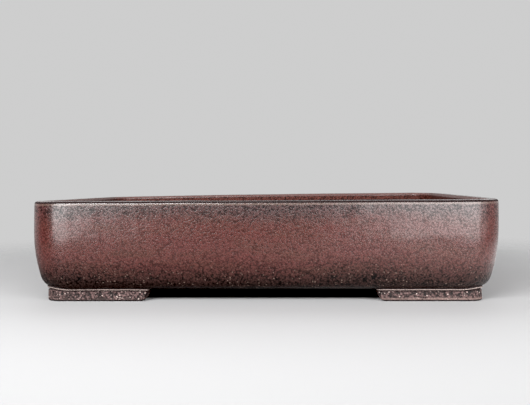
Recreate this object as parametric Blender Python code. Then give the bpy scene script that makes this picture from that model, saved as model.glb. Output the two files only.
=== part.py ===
"""Shallow rectangular bonsai pot of unglazed stoneware, as the clay pieces that a potter lutes together.

A floor slab with drain and wire holes is ringed by four walls, mitred in the rounded corners. Four rim strips
stand on the walls, four coils fill the inner seam between floor and walls, and four angled feet carry the
underside. The origin is on the ground under the middle of the pot, +X runs along the long side and +Z is up.
The front is the long side at -Y. Units are metres.
"""

import math

import bmesh
import bpy
from mathutils import Matrix, Vector

# The whole pot.
POT_WIDTH = 0.450
POT_DEPTH = 0.350
POT_HEIGHT = 0.095
CORNER_RADIUS = 0.043
SEAM_GAP = 0.0003

# The outer face of the wall, as a side arc that runs into a tighter heel arc and so to the flat underside.
BELLY_HEIGHT = 0.0634
SIDE_RADIUS = 0.146
HEEL_RADIUS = 0.014
RIM_LEAN = 0.0008

# The clay's thickness.
WALL_THICKNESS = 0.009
FLOOR_THICKNESS = 0.009
TOE_WIDTH = 0.006

# The rim strip, which stands a little proud of the wall on the inside.
RIM_HEIGHT = 0.012
RIM_WIDTH = 0.012
RIM_ROUNDING = 0.003
RIM_SLOPE_DROP = 0.004

# The coil pressed into the seam between floor and wall.
COIL_RADIUS = 0.012
COIL_TOE = 0.0008

# The feet.
FOOT_HEIGHT = 0.0118
FOOT_INSET = 0.0168
FOOT_CORNER_RADIUS = 0.0145
FOOT_LENGTH_X = 0.101
FOOT_LENGTH_Y = 0.079
FOOT_THICKNESS = 0.026
FOOT_INNER_RADIUS = 0.010
FOOT_END_TAPER = 0.0045
FOOT_EDGE_ROUNDING = 0.0025

# The holes through the floor.
DRAIN_RADIUS = 0.020
DRAIN_SPACING = 0.200
WIRE_RADIUS = 0.0032
WIRE_SPACING_X = 0.300
WIRE_SPACING_Y = 0.150
HOLE_EDGE_ROUNDING = 0.0012

# How finely the round stretches are divided.
CORNER_STEPS = 5
SIDE_STEPS = 5
HEEL_STEPS = 4
ROUNDING_STEPS = 3
DRAIN_SIDES = 32
WIRE_SIDES = 16

# Each side of the pot turns about the middle: which way its outer face looks, and how far out that face is.
SIDES = {
    "front": (0.0, POT_WIDTH, POT_DEPTH),
    "right": (90.0, POT_DEPTH, POT_WIDTH),
    "back": (180.0, POT_WIDTH, POT_DEPTH),
    "left": (270.0, POT_DEPTH, POT_WIDTH),
}
CORNERS = {
    "front_left": (-1, -1),
    "front_right": (1, -1),
    "back_left": (-1, 1),
    "back_right": (1, 1),
}

FLOOR_TOP = FOOT_HEIGHT + FLOOR_THICKNESS
COIL_BASE = FLOOR_TOP + SEAM_GAP
COIL_TOP = COIL_BASE + COIL_TOE + COIL_RADIUS
RIM_BASE = POT_HEIGHT - RIM_HEIGHT


def remove_old_objects():
    for old in list(bpy.data.objects):
        bpy.data.objects.remove(old)


def clay(name, colour, roughness):
    material = bpy.data.materials.new(name)
    material.use_nodes = True
    shader = material.node_tree.nodes["Principled BSDF"]
    shader.inputs["Base Color"].default_value = (*colour, 1.0)
    shader.inputs["Roughness"].default_value = roughness
    shader.inputs["Metallic"].default_value = 0.0
    material.diffuse_color = (*colour, 1.0)
    return material


def add_solid(name, bm, material, smooth_angle=35.0):
    """Turns a closed bmesh into one named object with its faces looking out."""
    bmesh.ops.remove_doubles(bm, verts=bm.verts, dist=1e-6)
    bmesh.ops.recalc_face_normals(bm, faces=bm.faces)
    mesh = bpy.data.meshes.new(name)
    bm.to_mesh(mesh)
    bm.free()
    mesh.shade_smooth()
    mesh.set_sharp_from_angle(angle=math.radians(smooth_angle))
    mesh.materials.append(material)
    made = bpy.data.objects.new(name, mesh)
    bpy.context.scene.collection.objects.link(made)
    return made


def hide_as_cutter(cutter):
    cutter.hide_render = True
    cutter.display_type = "WIRE"


def cut(target, cutter, name):
    modifier = target.modifiers.new(name, "BOOLEAN")
    modifier.operation = "DIFFERENCE"
    modifier.solver = "EXACT"
    modifier.object = cutter


# Sections are lists of (inset, height): how far inside the pot's widest outline, and how far above the ground.


def arc(centre, radius, start, end, steps):
    """Points of an arc in a section. Angles are in degrees, from the outward level direction, up being 90."""
    points = []
    for step in range(steps + 1):
        angle = math.radians(start + (end - start) * step / steps)
        inset = centre[0] - radius * math.cos(angle)
        points.append((inset, centre[1] + radius * math.sin(angle)))
    return points


def heel_centre():
    """The heel arc touches the underside and the side arc, so its centre follows from both."""
    height = FOOT_HEIGHT + HEEL_RADIUS
    drop = BELLY_HEIGHT - height
    reach = math.sqrt((SIDE_RADIUS - HEEL_RADIUS) ** 2 - drop**2)
    return SIDE_RADIUS - reach, height


def outer_curve(grow=0.0):
    """The outer face from the widest level down to the underside, moved outwards by grow."""
    centre = heel_centre()
    meet = math.degrees(math.asin((BELLY_HEIGHT - centre[1]) / (SIDE_RADIUS - HEEL_RADIUS)))
    side = arc((SIDE_RADIUS, BELLY_HEIGHT), SIDE_RADIUS + grow, 0.0, -meet, SIDE_STEPS)
    heel = arc(centre, HEEL_RADIUS + grow, -meet, -90.0, HEEL_STEPS)
    return side + heel[1:]


def inset_at(height):
    """How far the outer face stands inside the widest outline at a height above the heel."""
    if height >= BELLY_HEIGHT:
        share = (height - BELLY_HEIGHT) / (POT_HEIGHT - BELLY_HEIGHT)
        return RIM_LEAN * share**2
    centre = heel_centre()
    side_inset = SIDE_RADIUS - math.sqrt(SIDE_RADIUS**2 - (BELLY_HEIGHT - height) ** 2)
    below = centre[1] - height
    if below <= 0.0:
        return side_inset
    heel_inset = centre[0] - math.sqrt(HEEL_RADIUS**2 - below**2)
    return max(side_inset, heel_inset)


def wall_section():
    top = RIM_BASE - SEAM_GAP
    middle = (top + BELLY_HEIGHT) / 2
    toe = heel_centre()[0] + TOE_WIDTH
    inner_levels = [FLOOR_TOP, COIL_TOP, (COIL_TOP + BELLY_HEIGHT) / 2, BELLY_HEIGHT, middle, top]
    section = [(inset_at(top), top), (inset_at(middle), middle)]
    section += outer_curve()
    section += [(toe, FOOT_HEIGHT), (toe, FLOOR_TOP)]
    section += [(inset_at(level) + WALL_THICKNESS, level) for level in inner_levels]
    return section


def rim_section():
    lean = inset_at(POT_HEIGHT - RIM_ROUNDING)
    inner = lean + RIM_WIDTH
    shoulder = POT_HEIGHT - RIM_ROUNDING
    base_inset = inset_at(RIM_BASE)
    section = arc((inner - RIM_ROUNDING, shoulder), RIM_ROUNDING, 180.0, 90.0, ROUNDING_STEPS)
    section += arc((lean + RIM_ROUNDING, shoulder), RIM_ROUNDING, 90.0, 0.0, ROUNDING_STEPS)
    section += [(base_inset, RIM_BASE), (base_inset + WALL_THICKNESS, RIM_BASE)]
    section += [(inner, RIM_BASE + RIM_SLOPE_DROP)]
    return section


def coil_section():
    """A hollow fillet that lies on the floor's edge and against the wall."""
    wall_low = inset_at(COIL_BASE) + WALL_THICKNESS + SEAM_GAP
    wall_high = inset_at(COIL_TOP) + WALL_THICKNESS + SEAM_GAP
    centre = (wall_low + COIL_TOE + COIL_RADIUS, COIL_TOP)
    section = [(wall_high, COIL_TOP), (wall_low, COIL_BASE), (centre[0], COIL_BASE)]
    section += arc(centre, COIL_RADIUS, -90.0, 0.0, HEEL_STEPS)
    return section


def sweep_side(name, section, side, material):
    """Runs a section along one side of the pot, from the middle of one rounded corner to the middle of the next."""
    turn, length, breadth = SIDES[side]
    corner_x = length / 2 - CORNER_RADIUS
    corner_y = CORNER_RADIUS - breadth / 2
    left_centre = Vector((-corner_x, corner_y, 0.0))
    right_centre = Vector((corner_x, corner_y, 0.0))
    gap_angle = SEAM_GAP / 2 / (CORNER_RADIUS - WALL_THICKNESS)
    sweep_angle = math.radians(45.0) - gap_angle
    bm = bmesh.new()
    verts = [bm.verts.new((-corner_x, inset - breadth / 2, height)) for inset, height in section]
    loop = [bm.edges.new(pair) for pair in zip(verts, verts[1:] + verts[:1])]
    bmesh.ops.rotate(bm, verts=verts, cent=left_centre, matrix=Matrix.Rotation(-sweep_angle, 3, "Z"))
    bmesh.ops.holes_fill(bm, edges=loop)
    loop = spin_loop(bm, loop, left_centre, sweep_angle)
    loop = extrude_loop(bm, loop, Vector((2 * corner_x, 0.0, 0.0)))
    loop = spin_loop(bm, loop, right_centre, sweep_angle)
    bmesh.ops.holes_fill(bm, edges=loop)
    turned = Matrix.Rotation(math.radians(turn), 3, "Z")
    bmesh.ops.rotate(bm, verts=bm.verts, cent=Vector(), matrix=turned)
    return add_solid(name, bm, material)


def spin_loop(bm, loop, centre, angle):
    verts = list({vert for edge in loop for vert in edge.verts})
    made = bmesh.ops.spin(
        bm,
        geom=verts + loop,
        cent=centre,
        axis=Vector((0.0, 0.0, 1.0)),
        angle=angle,
        steps=CORNER_STEPS,
    )
    return [item for item in made["geom_last"] if isinstance(item, bmesh.types.BMEdge)]


def extrude_loop(bm, loop, move):
    made = bmesh.ops.extrude_edge_only(bm, edges=loop)["geom"]
    moved = [item for item in made if isinstance(item, bmesh.types.BMVert)]
    bmesh.ops.translate(bm, verts=moved, vec=move)
    ends = set(moved)
    edges = [item for item in made if isinstance(item, bmesh.types.BMEdge)]
    return [edge for edge in edges if ends.issuperset(edge.verts)]


def rounded_outline(half_x, half_y, radius, steps):
    """A rounded rectangle about the middle, counter-clockwise, as (x, y) points."""
    points = []
    for turn, sign_x, sign_y in ((0, 1, 1), (90, -1, 1), (180, -1, -1), (270, 1, -1)):
        for step in range(steps + 1):
            angle = math.radians(turn + 90.0 * step / steps)
            x = sign_x * (half_x - radius) + radius * math.cos(angle)
            y = sign_y * (half_y - radius) + radius * math.sin(angle)
            points.append((x, y))
    return points


def stack_outlines(rings):
    """A closed solid through rings of equal length, each a list of (x, y, z) points."""
    bm = bmesh.new()
    loops = [[bm.verts.new(point) for point in ring] for ring in rings]
    count = len(loops[0])
    for lower, upper in zip(loops, loops[1:]):
        for index in range(count):
            after = (index + 1) % count
            bm.faces.new((lower[index], lower[after], upper[after], upper[index]))
    bm.faces.new(reversed(loops[0]))
    bm.faces.new(loops[-1])
    return bm


def floor_slab(material):
    inset = heel_centre()[0] + TOE_WIDTH + SEAM_GAP
    half_x = POT_WIDTH / 2 - inset
    half_y = POT_DEPTH / 2 - inset
    outline = rounded_outline(half_x, half_y, CORNER_RADIUS - inset, 2 * CORNER_STEPS)
    rings = [[(x, y, height) for x, y in outline] for height in (FOOT_HEIGHT, FLOOR_TOP)]
    slab = add_solid("floor_slab", stack_outlines(rings), material)
    for label, radius, sides, places in hole_rows():
        for index, (x, y) in enumerate(places):
            cutter = hole_cutter(f"{label}_cutter_{index}", radius, sides, material)
            cutter.location = (x, y, 0.0)
            cut(slab, cutter, f"{label}_{index}")
    return slab


def hole_rows():
    drains = [(sign * DRAIN_SPACING / 2, 0.0) for sign in (-1, 1)]
    wires = [
        (sign_x * WIRE_SPACING_X / 2, sign_y * WIRE_SPACING_Y / 2)
        for sign_x in (-1, 1)
        for sign_y in (-1, 1)
    ]
    return (
        ("drain", DRAIN_RADIUS, DRAIN_SIDES, drains),
        ("wire", WIRE_RADIUS, WIRE_SIDES, wires),
    )


def hole_cutter(name, radius, sides, material):
    """A round punch whose ends flare where it leaves the slab, so that the hole has softened edges."""
    beyond = 2 * HOLE_EDGE_ROUNDING
    levels = (
        (FOOT_HEIGHT - beyond, radius + beyond + HOLE_EDGE_ROUNDING),
        (FOOT_HEIGHT + HOLE_EDGE_ROUNDING, radius),
        (FLOOR_TOP - HOLE_EDGE_ROUNDING, radius),
        (FLOOR_TOP + beyond, radius + beyond + HOLE_EDGE_ROUNDING),
    )
    rings = []
    for height, ring_radius in levels:
        angles = [2 * math.pi * index / sides for index in range(sides)]
        rings.append([(ring_radius * math.cos(a), ring_radius * math.sin(a), height) for a in angles])
    cutter = add_solid(name, stack_outlines(rings), material)
    hide_as_cutter(cutter)
    return cutter


def body_cutter(material):
    """The outside of the pot's body, grown by the seam gap, to trim the tops of the feet."""
    rings = []
    for inset, height in reversed(outer_curve(SEAM_GAP)):
        half_x = POT_WIDTH / 2 - inset
        half_y = POT_DEPTH / 2 - inset
        outline = rounded_outline(half_x, half_y, CORNER_RADIUS - inset, 2 * CORNER_STEPS)
        rings.append([(x, y, height) for x, y in outline])
    cutter = add_solid("body_cutter", stack_outlines(rings), material)
    hide_as_cutter(cutter)
    return cutter


def foot_outline(end_inset):
    """An angle that follows one rounded corner, for the front left foot, counter-clockwise, as (x, y) points."""
    left = -POT_WIDTH / 2 + FOOT_INSET
    front = -POT_DEPTH / 2 + FOOT_INSET
    right = left + FOOT_LENGTH_X - end_inset
    back = front + FOOT_LENGTH_Y - end_inset
    inner_x = left + FOOT_THICKNESS
    inner_y = front + FOOT_THICKNESS
    points = []
    for step in range(CORNER_STEPS + 1):
        angle = math.radians(180.0 + 90.0 * step / CORNER_STEPS)
        x = left + FOOT_CORNER_RADIUS + FOOT_CORNER_RADIUS * math.cos(angle)
        points.append((x, front + FOOT_CORNER_RADIUS + FOOT_CORNER_RADIUS * math.sin(angle)))
    points += [(right, front), (right, inner_y)]
    for step in range(ROUNDING_STEPS + 1):
        angle = math.radians(270.0 - 90.0 * step / ROUNDING_STEPS)
        x = inner_x + FOOT_INNER_RADIUS + FOOT_INNER_RADIUS * math.cos(angle)
        points.append((x, inner_y + FOOT_INNER_RADIUS + FOOT_INNER_RADIUS * math.sin(angle)))
    points += [(inner_x, back), (left, back)]
    return points


def foot(corner, cutter, material):
    sign_x, sign_y = CORNERS[corner]
    spare = HEEL_RADIUS / 2
    top = FOOT_HEIGHT + spare
    slope = FOOT_END_TAPER / FOOT_HEIGHT
    lower = [(x, y, 0.0) for x, y in foot_outline(FOOT_END_TAPER)]
    upper = [(x, y, top) for x, y in foot_outline(FOOT_END_TAPER - slope * top)]
    bm = stack_outlines([lower, upper])
    bmesh.ops.transform(bm, matrix=Matrix.Diagonal((-sign_x, -sign_y, 1.0, 1.0)), verts=bm.verts)
    round_foot_edges(bm)
    made = add_solid(f"foot_{corner}", bm, material)
    cut(made, cutter, "trim_to_body")
    return made


def round_foot_edges(bm):
    """Rounds the foot's lower edges and the upright edges of its two ends."""
    bm.edges.ensure_lookup_table()
    chosen = [edge for edge in bm.edges if max(vert.co.z for vert in edge.verts) < SEAM_GAP]
    bmesh.ops.bevel(
        bm,
        geom=chosen,
        offset=FOOT_EDGE_ROUNDING,
        offset_type="OFFSET",
        segments=ROUNDING_STEPS,
        profile=0.5,
        affect="EDGES",
        clamp_overlap=True,
    )


def build_pot():
    remove_old_objects()
    body_clay = clay("body_clay", (0.150, 0.062, 0.052), 0.48)
    rim_clay = clay("rim_clay", (0.135, 0.070, 0.062), 0.45)
    floor_clay = clay("floor_clay", (0.185, 0.080, 0.062), 0.70)
    coil_clay = clay("coil_clay", (0.170, 0.072, 0.058), 0.65)
    foot_clay = clay("foot_clay", (0.130, 0.075, 0.062), 0.62)
    floor_slab(floor_clay)
    for side in SIDES:
        sweep_side(f"wall_{side}", wall_section(), side, body_clay)
        sweep_side(f"rim_{side}", rim_section(), side, rim_clay)
        sweep_side(f"seam_coil_{side}", coil_section(), side, coil_clay)
    cutter = body_cutter(foot_clay)
    for corner in CORNERS:
        foot(corner, cutter, foot_clay)


build_pot()
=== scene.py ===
import math

import bmesh
import bpy
from mathutils import Matrix, Vector
from mathutils.geometry import delaunay_2d_cdt


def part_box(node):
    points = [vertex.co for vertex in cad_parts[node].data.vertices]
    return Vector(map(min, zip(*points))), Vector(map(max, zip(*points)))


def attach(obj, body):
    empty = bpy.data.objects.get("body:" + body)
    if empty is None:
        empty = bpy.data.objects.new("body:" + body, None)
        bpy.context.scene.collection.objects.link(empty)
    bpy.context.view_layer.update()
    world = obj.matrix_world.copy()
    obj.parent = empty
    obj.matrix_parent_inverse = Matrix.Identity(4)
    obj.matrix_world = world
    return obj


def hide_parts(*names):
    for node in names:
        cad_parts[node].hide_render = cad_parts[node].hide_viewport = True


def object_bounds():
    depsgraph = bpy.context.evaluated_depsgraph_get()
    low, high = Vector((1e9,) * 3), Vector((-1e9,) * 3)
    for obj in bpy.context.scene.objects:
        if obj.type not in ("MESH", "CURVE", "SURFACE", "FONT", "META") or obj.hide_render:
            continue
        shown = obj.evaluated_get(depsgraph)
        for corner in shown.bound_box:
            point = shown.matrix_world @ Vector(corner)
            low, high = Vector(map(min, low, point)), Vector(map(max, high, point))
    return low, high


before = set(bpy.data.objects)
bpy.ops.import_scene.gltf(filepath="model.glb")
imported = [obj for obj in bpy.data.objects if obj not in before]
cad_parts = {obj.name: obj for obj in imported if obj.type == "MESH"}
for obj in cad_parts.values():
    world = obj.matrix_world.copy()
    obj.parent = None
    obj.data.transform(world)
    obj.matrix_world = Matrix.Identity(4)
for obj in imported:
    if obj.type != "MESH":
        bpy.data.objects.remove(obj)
cad_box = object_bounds()

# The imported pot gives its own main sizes. All lengths are in metres.
POT_LENGTH = cad_box[1].x - cad_box[0].x
POT_BREADTH = cad_box[1].y - cad_box[0].y
POT_HEIGHT = cad_box[1].z
FOOT_TOP, FLOOR_TOP = (corner.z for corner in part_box("floor_slab"))
RIM_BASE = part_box("rim_front")[0].z

# Shape of the wall, seen in section.
CORNER_RADIUS = 0.043
BELLY_HEIGHT = 0.0634
SIDE_RADIUS = 0.146
HEEL_RADIUS = 0.014
RIM_LEAN = 0.0008
WALL_THICKNESS = 0.009
TOE_WIDTH = 0.006

# Shape of the lip that stiffens the top of the wall.
RIM_WIDTH = 0.012
LIP_ROUNDING = 0.0033
LIP_INNER_ROUNDING = 0.003
RIM_SLOPE_DROP = 0.004

# The coil pressed into the inner seam.
COIL_RADIUS = 0.012
COIL_BASE = FLOOR_TOP
COIL_TOP = 0.0339
COIL_TOE = 0.0008
PRESS_DEPTH = 0.0007
PRESS_SPACING = 0.015
PRESS_PATCH = 2.5 * PRESS_SPACING

# The corner feet.
FOOT_INSET = {-1: 0.0160, 1: 0.0172}
FOOT_CORNER_RADIUS = 0.0145
FOOT_LENGTH_X = {-1: 0.0992, 1: 0.1007}
FOOT_LENGTH_Y = 0.079
FOOT_THICKNESS = 0.026
FOOT_INNER_RADIUS = 0.010
FOOT_END_ROUNDING = 0.003
FOOT_END_TAPER = 0.0035
FOOT_END_CURL = 0.0060
FOOT_END_CURL_SHARE = 0.35
FOOT_EDGE_ROUNDING = 0.0018
FOOT_BEAD_HEIGHT = 0.0017
FOOT_GROOVE_WIDTH = 0.0013
FOOT_GROOVE_DEPTH = 0.0010
FOOT_GROOVE_SHARES = (0.35, 0.8)
FOOT_BEAD_PROUD = 0.0009
FOOT_SUNK = 0.0003

# The holes in the floor.
DRAIN_RADIUS = 0.020
DRAIN_SPACING = 0.200
WIRE_RADIUS = 0.0032
WIRE_SPACING = (0.300, 0.150)
DRAIN_EDGE_ROUNDING = 0.0018
WIRE_EDGE_ROUNDING = 0.0009

# How closely the clay surface is divided.
STRIP_STEP = 0.0016
SECTION_STEP = 0.0016
FOOT_STEP = 0.0014
FLOOR_STEP = 0.0036
FLOOR_ROW = 0.87 * FLOOR_STEP
LIP_STEPS = 8
COIL_STEPS = 16
FOOT_EDGE_STEPS = 6
BEAD_STEPS = 4
HOLE_EDGE_STEPS = 5
LEAST_HOLE_SIDES = 24
NET_TOLERANCE = 1e-5

# How far the hand and the kiln have moved the clay.
SLOW_WAVE = 0.09
SLOW_MOVE = 0.0006
QUICK_WAVE = 0.017
QUICK_MOVE = 0.00022
RIM_TWIST = 0.0020
BACK_ARCH = 0.0008
RIM_RISE = 0.0006
RIGHT_LEAN = 0.0009
RIGHT_LEAN_FROM = (0.8, 1.0)
STANDING_BAND = 0.008
WOBBLE_SEED = 4.7

SMOOTH_ANGLE = math.radians(38)


# Node trees written as sums.


class Field:
    """A node socket that Python sums extend: numbers with Math nodes, vectors with Vector Math nodes."""

    def __init__(self, recipe, socket):
        self.recipe, self.socket = recipe, socket

    def also(self, name):
        """Another output of the same node."""
        return Field(self.recipe, find_socket(self.socket.node.outputs, name))

    def sum(self, operation, left, right):
        fields = [side for side in (left, right) if isinstance(side, Field)]
        if any(field.socket.type in ("VECTOR", "RGBA") for field in fields):
            return self.recipe.node("ShaderNodeVectorMath", {"operation": operation}, {0: left, 1: right})
        return self.recipe.math(operation, left, right)

    def __add__(self, other):
        return self.sum("ADD", self, other)

    def __radd__(self, other):
        return self.sum("ADD", other, self)

    def __sub__(self, other):
        return self.sum("SUBTRACT", self, other)

    def __rsub__(self, other):
        return self.sum("SUBTRACT", other, self)

    def __mul__(self, other):
        return self.sum("MULTIPLY", self, other)

    def __rmul__(self, other):
        return self.sum("MULTIPLY", other, self)

    def __truediv__(self, other):
        return self.sum("DIVIDE", self, other)


def find_socket(sockets, key):
    """A socket by its place, its identifier or its name."""
    if isinstance(key, int):
        return sockets[key]
    by_identifier = [socket for socket in sockets if socket.identifier == key]
    return by_identifier[0] if by_identifier else sockets[key]


class Recipe:
    """A node tree being written."""

    def __init__(self, tree):
        self.tree = tree

    def node(self, kind, settings=None, sockets=None, output=0):
        """Adds a node of a type, sets it, gives its sockets values or links, and returns one output."""
        made = self.tree.nodes.new(kind)
        for name, value in (settings or {}).items():
            setattr(made, name, value)
        for key, value in (sockets or {}).items():
            socket = find_socket(made.inputs, key)
            if isinstance(value, Field):
                self.tree.links.new(value.socket, socket)
            elif socket.type == "RGBA":
                socket.default_value = (*value, 1.0)
            elif socket.type == "VECTOR" and isinstance(value, (int, float)):
                socket.default_value = (value, value, value)
            else:
                socket.default_value = value
        return Field(self, find_socket(made.outputs, output)) if made.outputs else None

    def math(self, operation, *values):
        return self.node("ShaderNodeMath", {"operation": operation}, dict(enumerate(values)))

    def clamp(self, value):
        return self.node("ShaderNodeMath", {"operation": "ADD", "use_clamp": True}, {0: value, 1: 0.0})

    def smooth(self, value, low, high):
        """0 below low, 1 above high, and smooth between them; low may be the larger."""
        settings = {"interpolation_type": "SMOOTHSTEP", "data_type": "FLOAT"}
        sockets = {"Value": value, "From Min": min(low, high), "From Max": max(low, high)}
        rising = self.node("ShaderNodeMapRange", settings, sockets)
        return rising if low < high else 1.0 - rising

    def band(self, value, begins, whole, fades, ends):
        """1 between whole and fades, 0 below begins and above ends."""
        return self.smooth(value, begins, whole) * self.smooth(value, ends, fades)

    def mix(self, share, first, second):
        """Blends two colours."""
        settings = {"data_type": "RGBA", "clamp_factor": True}
        sockets = {"Factor_Float": share, "A_Color": first, "B_Color": second}
        return self.node("ShaderNodeMix", settings, sockets, "Result_Color")

    def parts(self, vector):
        split = self.node("ShaderNodeSeparateXYZ", None, {0: vector})
        return split, split.also("Y"), split.also("Z")

    def vector(self, x, y, z):
        return self.node("ShaderNodeCombineXYZ", None, {0: x, 1: y, 2: z})

    def scaled(self, vector, share):
        return self.node("ShaderNodeVectorMath", {"operation": "SCALE"}, {"Vector": vector, "Scale": share})

    def noise(self, place, size, detail=2.0, roughness=0.5, seed=0.0, output="Fac"):
        """Clouds of about the given size, from 0 to 1."""
        sockets = {"Vector": place, "W": seed, "Scale": 1.0 / size}
        sockets.update({"Detail": detail, "Roughness": roughness})
        return self.node("ShaderNodeTexNoise", {"noise_dimensions": "4D"}, sockets, output)

    def cells(self, place, size, seed=0.0):
        """How near the closest of many scattered points is; they are about the given size apart."""
        sockets = {"Vector": place, "W": seed, "Scale": 1.0 / size}
        return self.node("ShaderNodeTexVoronoi", {"voronoi_dimensions": "4D"}, sockets, "Distance")


# Sections through the pot, as points (inset from the widest outline, height, share of inner finish).


def arc(centre, radius, start, end, steps):
    """An arc's points: 0 degrees faces outwards and 90 straight up."""
    points = []
    for i in range(steps + 1):
        angle = math.radians(start + (end - start) * i / steps)
        points.append((centre[0] - radius * math.cos(angle), centre[1] + radius * math.sin(angle)))
    return points


def heel_centre():
    height = FOOT_TOP + HEEL_RADIUS
    reach = math.sqrt((SIDE_RADIUS - HEEL_RADIUS) ** 2 - (BELLY_HEIGHT - height) ** 2)
    return SIDE_RADIUS - reach, height


def inset_at(height):
    """How far inside the widest outline the outer face is at a height."""
    if height >= BELLY_HEIGHT:
        return RIM_LEAN * ((height - BELLY_HEIGHT) / (POT_HEIGHT - BELLY_HEIGHT)) ** 2
    side = SIDE_RADIUS - math.sqrt(SIDE_RADIUS**2 - (BELLY_HEIGHT - height) ** 2)
    centre = heel_centre()
    if height >= centre[1]:
        return side
    heel = centre[0] - math.sqrt(max(HEEL_RADIUS**2 - (centre[1] - height) ** 2, 0.0))
    return max(side, heel)


def underside_at(inset):
    """Height of the pot's underside at an inset from the widest outline."""
    centre = heel_centre()
    if inset >= centre[0]:
        return FOOT_TOP
    return centre[1] - math.sqrt(max(HEEL_RADIUS**2 - (centre[0] - inset) ** 2, 0.0))


def levels(low, high, step=SECTION_STEP):
    count = max(1, math.ceil(abs(high - low) / step))
    return [low + (high - low) * i / count for i in range(count + 1)]


def outer_curve():
    """The outer face below the belly: the long side arc, then the rounded heel."""
    centre = heel_centre()
    meet = math.degrees(math.asin((BELLY_HEIGHT - centre[1]) / (SIDE_RADIUS - HEEL_RADIUS)))
    side_steps = math.ceil(SIDE_RADIUS * math.radians(meet) / SECTION_STEP)
    heel_steps = math.ceil(HEEL_RADIUS * math.radians(90.0 - meet) / SECTION_STEP)
    side = arc((SIDE_RADIUS, BELLY_HEIGHT), SIDE_RADIUS, 0.0, -meet, side_steps)
    heel = arc(centre, HEEL_RADIUS, -meet, -90.0, heel_steps)
    return side + heel[1:]


def spaced(points, finish, step=SECTION_STEP):
    """Divides long straight stretches and gives each point its share of inner finish."""
    made = []
    for start, end in zip(points, points[1:]):
        count = max(1, math.ceil(math.dist(start, end) / step))
        made += [tuple(a + (b - a) * i / count for a, b in zip(start, end)) for i in range(count)]
    return [(*point, finish) for point in made + [points[-1]]]


def wall_section():
    toe = heel_centre()[0] + TOE_WIDTH
    outer = [(inset_at(level), level) for level in levels(RIM_BASE, BELLY_HEIGHT)] + outer_curve()[1:]
    under = [outer[-1], (toe, FOOT_TOP), (toe, FLOOR_TOP)]
    foot_of_wall = [under[-1], (inset_at(FLOOR_TOP) + WALL_THICKNESS, FLOOR_TOP)]
    behind_coil = [foot_of_wall[-1], (inset_at(COIL_TOP) + WALL_THICKNESS, COIL_TOP)]
    inner = [(inset_at(level) + WALL_THICKNESS, level) for level in levels(COIL_TOP, RIM_BASE)]
    joint = [inner[-1], outer[0]]
    made = [(*point, 0.0) for point in outer] + spaced(under, 0.0)[1:]
    made += spaced(foot_of_wall, 1.0)[1:] + spaced(behind_coil, 1.0)[1:]
    return made + [(*point, 1.0) for point in inner[1:]] + spaced(joint, 1.0)[1:-1]


def rim_section():
    """The lip: a rounded outer edge, a flat top, a rounded inner edge and a soft step to the wall."""
    outer = [(inset_at(level), level) for level in levels(RIM_BASE, POT_HEIGHT - LIP_ROUNDING)]
    shoulder = (outer[-1][0] + LIP_ROUNDING, POT_HEIGHT - LIP_ROUNDING)
    lip = arc(shoulder, LIP_ROUNDING, 0.0, 90.0, LIP_STEPS)
    inner_edge = outer[-1][0] + RIM_WIDTH
    far_shoulder = (inner_edge - LIP_INNER_ROUNDING, POT_HEIGHT - LIP_INNER_ROUNDING)
    far_lip = arc(far_shoulder, LIP_INNER_ROUNDING, 90.0, 180.0, LIP_STEPS)
    step_top = (inner_edge, RIM_BASE + RIM_SLOPE_DROP)
    step_foot = (inset_at(RIM_BASE) + WALL_THICKNESS, RIM_BASE)
    made = [(*point, 0.0) for point in outer] + [(*point, 0.0) for point in lip[1:]]
    made += spaced([lip[-1], far_lip[0]], 0.0)[1:] + [(*point, 0.5) for point in far_lip[1:]]
    made += spaced([far_lip[-1], step_top, step_foot], 1.0)[1:]
    return made + spaced([step_foot, outer[0]], 1.0)[1:-1]


def coil_section():
    """A coil thumbed into the corner between wall and floor."""
    wall_low = inset_at(COIL_BASE) + WALL_THICKNESS
    wall_high = inset_at(COIL_TOP) + WALL_THICKNESS
    centre = (wall_low + COIL_TOE + COIL_RADIUS, COIL_TOP)
    face = arc(centre, COIL_RADIUS, -90.0, 0.0, COIL_STEPS)
    made = [(*face[-1], 1.0)] + spaced([face[-1], (wall_high, COIL_TOP), (wall_low, COIL_BASE)], 1.0)[1:]
    made += spaced([(wall_low, COIL_BASE), (centre[0], COIL_BASE)], 1.0)[1:]
    return made + [(*point, 1.0) for point in face[:-1]]


# Geometry Nodes trees.


def hand_moved(recipe, place):
    """How far the potter's hand and the kiln moved a point of clay that was first at place."""
    x, y, z = recipe.parts(place)
    middle = (0.5, 0.5, 0.5)
    slow = recipe.noise(place, SLOW_WAVE, 1.0, 0.5, WOBBLE_SEED, "Color") - middle
    quick = recipe.noise(place, QUICK_WAVE, 1.0, 0.5, WOBBLE_SEED + 1.0, "Color") - middle
    share_up = (z - FOOT_TOP) / (POT_HEIGHT - FOOT_TOP)
    share_back = y / POT_BREADTH + 0.5
    share_right = x / (POT_LENGTH / 2)
    twist = share_up * share_back * (share_right * RIM_TWIST - share_right * share_right * BACK_ARCH)
    lean = recipe.smooth(share_right, *RIGHT_LEAN_FROM) * RIGHT_LEAN * (z - BELLY_HEIGHT) / (POT_HEIGHT / 2)
    steady = recipe.smooth(z, 0.0, STANDING_BAND)
    waves = slow * (2.0 * SLOW_MOVE, 2.0 * SLOW_MOVE, SLOW_MOVE) + quick * (2.0 * QUICK_MOVE)
    whole = waves + recipe.vector(lean, 0.0, twist + share_up * RIM_RISE)
    return recipe.scaled(whole, steady)


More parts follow.
